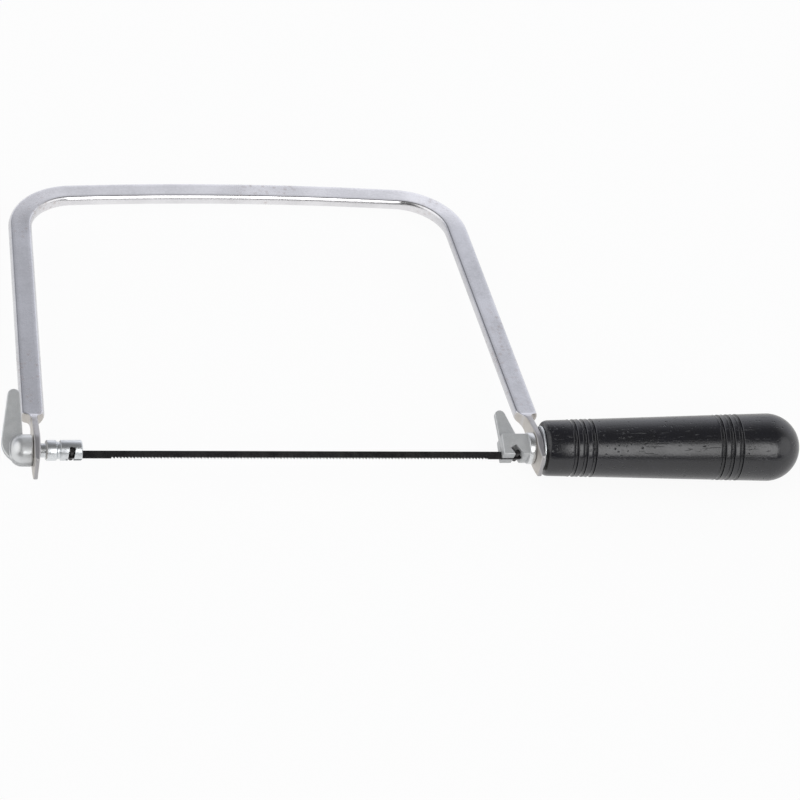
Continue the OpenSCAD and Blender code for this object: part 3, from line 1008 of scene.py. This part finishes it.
def make_front_spigot():
    floor_r = SPIGOT_R - GROOVE_DEPTH
    c = SPIGOT_EASE
    corners = [
        (NECK_END_X, DOT_R),
        (NECK_END_X, NECK_R),
        (RING_X, NECK_R),
        (RING_X, SPIGOT_R - c),
        (RING_X + c, SPIGOT_R),
        (GROOVE_X - c, SPIGOT_R),
        (GROOVE_X, floor_r),
        (BODY_X, floor_r),
        (BODY_X + c, SPIGOT_R),
        (SPIGOT_END_X - c, SPIGOT_R),
        (SPIGOT_END_X, SPIGOT_R - c),
        (SPIGOT_END_X, DOT_R),
    ]
    rounds = [0, 0.2, 0.25, 0.15, 0.2, 0.2, 0.1, 0.1, 0.2, 0.25, 0.25, 0]
    piece = turned("front_spigot_turned", eased(corners, rounds, closed=False, steps=3), 128)
    slit = blade_slit(FRONT_PIN_X - BLADE_TAIL - BLADE_CLEAR, SPIGOT_END_X + CUT_PAST, 2 * SPIGOT_R)
    notch = hook_notch((FRONT_PIN_X, -FRONT_PIN_DROP, 0), *FRONT_NOTCH, 2 * SPIGOT_R)
    cut(piece, slit, notch)
    in_blade_plane(piece)
    fitted(piece, "blade_holder", "front_spigot", TURNED_STEEL, sharp_deg=25.0)


def front_lever_outline(edge_x):
    foot = (BOSS_FACE_X - FRONT_FOOT_BACK, FRONT_FOOT_UP)
    tip = (edge_x - FRONT_TIP_R, FRONT_LEVER_L - FRONT_TIP_R)
    left = edge_dir(foot, FRONT_FOOT_R, tip, FRONT_TIP_R, 1)
    low = -math.degrees(math.acos((edge_x - foot[0]) / FRONT_FOOT_R))
    outline = arc(tip, FRONT_TIP_R, 0, left, 16)
    outline += arc(foot, FRONT_FOOT_R, left, 360 + low, 40)
    return outline + [(edge_x, y) for y in spaced(outline[-1][1], tip[1], 24)[1:-1]]


# How bright castings are made on their rims, as a painted highlight, and how bright they are rubbed on the
# boss's dome and round the boss
RIM_HIGHLIGHT = 0.7
DOME_POLISH = 0.85
BOSS_POLISH = 0.4
DOME_FADE = 2.5
CAST_GRAIN = 0.15
CAST_ROUNDS = 6


def paint_rubbed_and_highlight(piece, wanted):
    """Marks the points of a casting that are made bright: the places that are wanted, and its rims, which get
    a painted highlight.
    """
    values = []
    for v in piece.data.vertices:
        flat = abs(v.normal.z)
        # Rims are made lighter and glossier: a painted highlight along the rounded edges.
        rim = ease((flat - 0.2) / 0.2) * ease((0.96 - flat) / 0.1)
        values.append(max(wanted(v.co), RIM_HIGHLIGHT * rim))
    painted(piece, "rubbed_and_rim_highlight", values)


def make_front_lever():
    lean = math.radians(ARM_LEAN)
    edge_x = FRONT_ARM_X + math.tan(lean) * SHOULDER - BAR_W / 2 / math.cos(lean) - PASS_CLEAR
    lever = plate("front_lever_cast", front_lever_outline(edge_x), LEVER_T, LEVER_RIM)
    rounds = (BOSS_EASE, DOME_R)
    boss = rod("boss", BOSS_FACE_X, BOSS_END_X, BOSS_R, rounds, steps=14, sides=96, dot=CAST_DOT_R)
    poured(lever, boss)
    cast(lever, CAST_GRAIN, CAST_ROUNDS)
    cut(lever, bore("neck_seat", NECK_END_X - PRESS_CLEAR, BOSS_FACE_X + CUT_PAST, NECK_R + PRESS_CLEAR, 48))

    def on_boss(p):
        off_plate = ease((abs(p.z) - LEVER_T / 2 - 0.1) / 0.5)
        return lerp(DOME_POLISH, BOSS_POLISH, ease((p.x - BOSS_END_X - DOME_FADE) / DOME_FADE)) * off_plate

    paint_rubbed_and_highlight(lever, on_boss)
    in_blade_plane(lever)
    fitted(lever, "blade_holder", "front_lever", ZINC_CASTING, sharp_deg=50.0)


def make_rear_spigot():
    half = BLOCK_S / 2
    square = [(-half, -half), (half, -half), (half, half), (-half, half)]
    block = plate("rear_spigot_cast", eased(square, BLOCK_EASE, steps=3), BLOCK_L + BLOCK_LAP, BLOCK_EASE, 3)
    rotated(block, 90, "Y")
    moved(block, BLOCK_X + BLOCK_L / 2 + BLOCK_LAP / 2)
    rounds = (COLLAR_EASE, COLLAR_EASE)
    collar = rod("collar", COLLAR_X, COLLAR_END_X, COLLAR_R, rounds, steps=4, sides=96, dot=CAST_DOT_R)
    foot = (BLOCK_X + REAR_FOOT_R, half - REAR_FOOT_R)
    tip = (BLOCK_X - REAR_TIP_LEAD + REAR_TIP_R, REAR_LEVER_L - REAR_TIP_R)
    left = edge_dir(foot, REAR_FOOT_R, tip, REAR_TIP_R, 1)
    right = edge_dir(foot, REAR_FOOT_R, tip, REAR_TIP_R, -1)
    outline = arc(tip, REAR_TIP_R, right, left, 16) + arc(foot, REAR_FOOT_R, left, 360 + right, 32)
    lever = plate("rear_lever", outline, LEVER_T, REAR_LEVER_RIM)
    welded(block, collar, lever)
    slit = blade_slit(BLOCK_X - CUT_PAST, REAR_PIN_X + BLADE_TAIL + BLADE_CLEAR, BLOCK_S)
    notch = hook_notch((REAR_PIN_X, -REAR_PIN_DROP, 0), *REAR_NOTCH, BLOCK_S)
    seat = bore("stud_seat", STUD_X - PRESS_CLEAR, COLLAR_END_X + CUT_PAST, STUD_R + PRESS_CLEAR, 48)
    cut(block, slit, notch, seat)
    sharp = math.radians(BEVEL_FROM)
    worked(block, "BEVEL", width=BLOCK_BEVEL, segments=2, limit_method="ANGLE", angle_limit=sharp)
    paint_rubbed_and_highlight(block, lambda p: ease((p.x - COLLAR_X + 0.1) / 0.2))
    in_blade_plane(block)
    fitted(block, "rear_holder", "rear_spigot", ZINC_CASTING, sharp_deg=35.0)


def on_blade(piece):
    """Lays a blank along the blade, from the front pin."""
    sink = REAR_PIN_DROP - FRONT_PIN_DROP
    rotated(piece, -math.degrees(math.atan(sink / PIN_SPAN)), "Z")
    moved(piece, FRONT_PIN_X, -FRONT_PIN_DROP)
    return in_blade_plane(piece)


def make_blade():
    length = BLADE_SPAN
    half = BLADE_T / 2
    top = BLADE_W / 2
    low = -BLADE_W / 2
    root = low + TOOTH_DEPTH
    c = BLADE_EASE
    teeth = int((length - FRONT_PLAIN - REAR_PLAIN) / TOOTH_PITCH)
    teeth_end = FRONT_PLAIN + teeth * TOOTH_PITCH

    def section(x, bottom, head=top):
        return [
            (x, head - c, half),
            (x, head, half - c),
            (x, head, c - half),
            (x, head - c, -half),
            (x, bottom, -half),
            (x, bottom, half),
        ]

    tip_low = low + BLADE_CORNER
    tip_top = top - BLADE_CORNER
    stations = [(-BLADE_TAIL, tip_low, tip_top), (-BLADE_TAIL + BLADE_CORNER, low, top)]
    stations += [(FRONT_PLAIN - TOOTH_RUN_OUT, low, top)]
    first_root = len(stations)
    stations += [(FRONT_PLAIN + k * TOOTH_PITCH, root, top) for k in range(teeth + 1)]
    stations += [(teeth_end + TOOTH_RUN_OUT, low, top)]
    stations += [(length + BLADE_TAIL - BLADE_CORNER, low, top), (length + BLADE_TAIL, tip_low, tip_top)]
    verts, faces = skin([section(*s) for s in stations])
    count = len(section(0.0, low))
    toothed = {i * count + 4 for i in range(first_root, first_root + teeth)}
    faces = [f for f in faces if not (len(f) == 4 and f[0] in toothed and f[1] == f[0] + 1)]
    for k in range(teeth):
        a = (first_root + k) * count
        b = a + count
        lean = TOOTH_SET if k % 2 else -TOOTH_SET
        x = FRONT_PLAIN + (k + TOOTH_TIP) * TOOTH_PITCH
        tip = len(verts)
        verts += [(x, low, lean - half), (x, low, lean + half)]
        faces += [(a + 4, b + 4, tip), (b + 5, a + 5, tip + 1)]
        faces += [(a + 5, a + 4, tip, tip + 1), (b + 4, b + 5, tip + 1, tip)]
    piece = blank("toothed_blade", verts, faces)
    for at in (0.0, length):
        hole = bore("pin_hole", -CUT_PAST, CUT_PAST, PIN_D / 2 + PRESS_CLEAR, 40)
        cut(piece, moved(rotated(hole, 90, "Y"), at))
    fitted(on_blade(piece), "blade_holder", "blade", BLADE_STEEL, sharp_deg=25.0)


def make_pin(name, node_name, at):
    piece = rod(name, -PIN_L / 2, PIN_L / 2, PIN_D / 2, (PIN_EASE, PIN_EASE), steps=4, sides=40)
    moved(rotated(piece, 90, "Y"), at)
    fitted(on_blade(piece), "blade_holder", node_name, BLADE_STEEL)


# Stud, washer, bush and handle


def make_tension_screw():
    sides = 48
    thread_x = COLLAR_END_X + THREAD_START
    count = int((STUD_L - THREAD_START) * THREAD_ROWS)
    rows = [STUD_X, STUD_X + STUD_EDGE, thread_x]
    rows += [thread_x + k * THREAD_PITCH / THREAD_ROWS for k in range(1, count)]
    rows += [STUD_END_X]
    rings = []
    for x in rows:
        ring = []
        for k in range(sides):
            a = 2 * math.pi * k / sides
            phase = (x / THREAD_PITCH - a / (2 * math.pi)) % 1.0
            dip = max(0.0, 1 - abs(phase - 0.5) * 2 / THREAD_ROOT)
            start = ease((x - COLLAR_END_X - THREAD_RUN_IN / 2) / THREAD_RUN_IN)
            r = STUD_R - THREAD_DEPTH * dip * start
            r = min(r, STUD_R - STUD_CHAMFER + (STUD_END_X - x))
            ring.append((x, r * math.cos(a), r * math.sin(a)))
        rings.append(ring)
    piece = blank("threaded_stud", *skin(rings))
    fitted(piece, "rear_holder", "tension_screw", TURNED_STEEL, sharp_deg=60.0)


def make_washer():
    hole = STUD_R + RUN_CLEAR
    x0 = WASHER_X
    x1 = WASHER_X + WASHER_T
    corners = [(x0, hole), (x1, hole), (x1, WASHER_R), (x0, WASHER_R)]
    loop = eased(corners, [WASHER_BORE_EASE] * 2 + [WASHER_EASE] * 2, steps=4)
    piece = turned("thrust_washer_turned", loop, 96, closed=True)
    fitted(piece, "washer", "thrust_washer", TURNED_STEEL)


def make_bush():
    hole = STUD_R + RUN_CLEAR
    x0 = HANDLE_X
    x1 = HANDLE_X + BUSH_L
    corners = [(x0, hole + BUSH_LEAD), (x0 + BUSH_LEAD, hole), (x1, hole), (x1, BUSH_R), (x0, BUSH_R)]
    piece = turned("threaded_bush", eased(corners, [0.05, 0.05, 0.1, 0.15, 0.15], steps=3), 64, closed=True)
    fitted(piece, "handle", "handle_insert", BRASS)


# Each turned groove: its lips with their height, place and spread, and the flat land beside them
GROOVE_LIP = 0.3
LIP_H = 0.1
LIP_AT = 0.84
LIP_SPREAD = 0.1
GROOVE_LAND = 0.12
GROOVE_STEPS = 24
# Straight length before the handle's dome, the dome's last turn in degrees and its steps
DOME_LAND = 4.0
DOME_STOP = 0.4
DOME_STEPS = 30


def handle_profile():
    """(x, radius) points of the handle, from its bore over the bush's seat and the front to the domed end."""
    dome_x = HANDLE_END_X - HANDLE_END_R

    def taper(x):
        return lerp(HANDLE_FRONT_R, HANDLE_END_R, (x - HANDLE_X) / (dome_x - HANDLE_X))

    seat_r = BUSH_R + PRESS_CLEAR
    bore_r = STUD_R + RUN_CLEAR
    bush_end = HANDLE_X + BUSH_L + PRESS_CLEAR
    profile = [
        (STUD_END_X + STUD_ROOM, DOT_R),
        (STUD_END_X + STUD_ROOM, bore_r),
        (bush_end, bore_r),
        (bush_end, seat_r),
        (HANDLE_X + SEAT_LEAD, seat_r),
        (HANDLE_X, seat_r + SEAT_LEAD),
    ]
    mid = (HANDLE_X + HANDLE_ROUND, HANDLE_FRONT_R - HANDLE_ROUND)
    profile += arc(mid, HANDLE_ROUND, 180, 90, 10)
    reach = TURNED_GROOVE_R + GROOVE_LIP
    grooves = [at + i * GROOVE_PITCH for at in (FRONT_GROOVES_AT, REAR_GROOVES_AT) for i in (-1, 0, 1)]
    profile.append((mid[0] + GROOVE_LAND, taper(mid[0] + GROOVE_LAND)))
    for at in grooves:
        x = HANDLE_X + at
        profile.append((x - reach - GROOVE_LAND, taper(x - reach - GROOVE_LAND)))
        for t in spaced(-1.0, 1.0, GROOVE_STEPS):
            dip = TURNED_GROOVE_R * max(0.0, 1 - (t * reach / TURNED_GROOVE_R) ** 2) ** 0.5
            lip = LIP_H * math.exp(-(((abs(t) - LIP_AT) / LIP_SPREAD) ** 2))
            profile.append((x + t * reach, taper(x + t * reach) - dip + lip))
        profile.append((x + reach + GROOVE_LAND, taper(x + reach + GROOVE_LAND)))
    profile.append((dome_x - DOME_LAND, taper(dome_x - DOME_LAND)))
    return profile + arc((dome_x, 0.0), HANDLE_END_R, 90.0, DOME_STOP, DOME_STEPS)


def make_handle():
    piece = turned("turned_handle", handle_profile(), 160)
    fitted(piece, "handle", "handle", BLACK_WOOD, sharp_deg=35.0)


make_frame()
make_front_spigot()
make_front_lever()
make_blade()
make_pin("front_cross_pin", "front_blade_pin", 0.0)
make_pin("rear_cross_pin", "rear_blade_pin", BLADE_SPAN)
make_rear_spigot()
make_tension_screw()
make_washer()
make_bush()
make_handle()


# Studio: pale floor, dome of light and camera, in metres

FLOOR_REACH = 6.0
FLOOR_WHITE_SHARE = 0.93


def make_floor():
    ends = (-FLOOR_REACH, FLOOR_REACH)
    mesh = bpy.data.meshes.new("floor")
    mesh.from_pydata([(x, y, 0) for x in ends for y in ends], [], [(0, 2, 3, 1)])
    floor = bpy.data.objects.new("floor", mesh)
    scene.collection.objects.link(floor)
    material = bpy.data.materials.new("pale_floor")
    material.use_nodes = True
    tree = material.node_tree
    tree.nodes.clear()
    path = tree.nodes.new("ShaderNodeLightPath").outputs
    seen = maths(tree, "MAXIMUM", path["Is Camera Ray"], path["Is Glossy Ray"])
    seen = maths(tree, "MAXIMUM", seen, path["Is Transmission Ray"])
    matte = node(tree, "ShaderNodeBsdfDiffuse", Color=(0.95, 0.95, 0.95))
    white = node(tree, "ShaderNodeEmission", Color=(1, 1, 1), Strength=1.0)
    mixed = node(
        tree,
        "ShaderNodeMixShader",
        i0=times(tree, seen, FLOOR_WHITE_SHARE),
        i1=matte.outputs[0],
        i2=white.outputs[0],
    )
    out = tree.nodes.new("ShaderNodeOutputMaterial")
    tree.links.new(mixed.outputs[0], out.inputs["Surface"])
    mesh.materials.append(material)


# Light of the room's back, sides and front: the heights between which it changes, and its level at each
WALL_LIGHT = (0.28, 0.84, 1.15, 0.2)
SIDE_LIGHT = (0.4, 0.92, 0.8, 0.17)
FRONT_LIGHT = (0.1, 0.7, 0.1, 0.14)
WALL_SLANT = 0.6
WALL_TINT = (0.955, 0.97, 1.03)
# Each lamp: its direction, its strength, and half its width and height seen from the saw
LAMPS = (
    ((0.24, -0.8, 0.55), 3.4, 0.19, 0.4),
    ((-0.84, -0.1, 0.54), 1.25, 0.66, 0.6),
    ((0.8, -0.45, 0.42), 1.25, 0.47, 0.45),
)


def make_dome():
    """Soft studio light: a white wall behind, a window in front, broad lamps at both sides, dark overhead."""
    world = bpy.data.worlds.new("studio_dome")
    scene.world = world
    world.use_nodes = True
    tree = world.node_tree
    tree.nodes.clear()
    way = tree.nodes.new("ShaderNodeTexCoord").outputs["Generated"]
    parts = node(tree, "ShaderNodeSeparateXYZ", Vector=way).outputs

    def along(direction):
        made = node(tree, "ShaderNodeVectorMath", {"operation": "DOT_PRODUCT"}, i0=way, i1=direction)
        return made.outputs["Value"]

    def squared(value):
        return times(tree, value, value)

    height = minus(tree, parts["Z"], times(tree, parts["X"], WALL_SLANT))
    wall = band(tree, height, *WALL_LIGHT)
    sides = band(tree, parts["Z"], *SIDE_LIGHT)
    front = band(tree, parts["Z"], *FRONT_LIGHT)
    room = mix_values(tree, band(tree, parts["Y"], -0.55, -0.05), front, sides)
    toned = mix_values(tree, band(tree, parts["Y"], 0.05, 0.55), room, wall)
    for direction, strength, half_wide, half_high in LAMPS:
        middle = Vector(direction).normalized()
        wide = middle.cross(Vector((0, 0, 1))).normalized()
        high = wide.cross(middle)
        spread = plus(tree, squared(along(wide / half_wide)), squared(along(high / half_high)))
        ahead = band(tree, along(middle), 0.0, 0.2)
        disc = times(tree, band(tree, spread, 0.5, 1.5, 1.0, 0.0), ahead)
        toned = maths(tree, "MAXIMUM", toned, times(tree, disc, strength))
    behind = blend(tree, band(tree, parts["Y"], 0.1, 0.6), (1, 1, 1), WALL_TINT)
    light = node(tree, "ShaderNodeBackground", Color=behind, Strength=toned)
    out = tree.nodes.new("ShaderNodeOutputWorld")
    tree.links.new(light.outputs[0], out.inputs["Surface"])


# Camera: its place, the ways its picture's right and top point, the way it looks back, and its lens
CAMERA_AT = (-0.287655, -0.953318, 0.817432)
CAMERA_RIGHT = (0.972944, -0.173835, 0.15219)
CAMERA_UP = (0.001133, 0.662293, 0.749244)
CAMERA_BACK = (-0.231039, -0.7288, 0.644571)
CAMERA_LENS = 153.327


def make_camera():
    data = bpy.data.cameras.new("camera")
    data.sensor_width = 36.0
    data.lens = CAMERA_LENS
    data.clip_start = 0.05
    data.clip_end = 50.0
    camera = bpy.data.objects.new("camera", data)
    turn = Matrix((CAMERA_RIGHT, CAMERA_UP, CAMERA_BACK)).transposed().to_4x4()
    camera.matrix_world = Matrix.Translation(CAMERA_AT) @ turn
    scene.collection.objects.link(camera)
    scene.camera = camera


make_floor()
make_dome()
make_camera()
scene.view_settings.view_transform = "Standard"
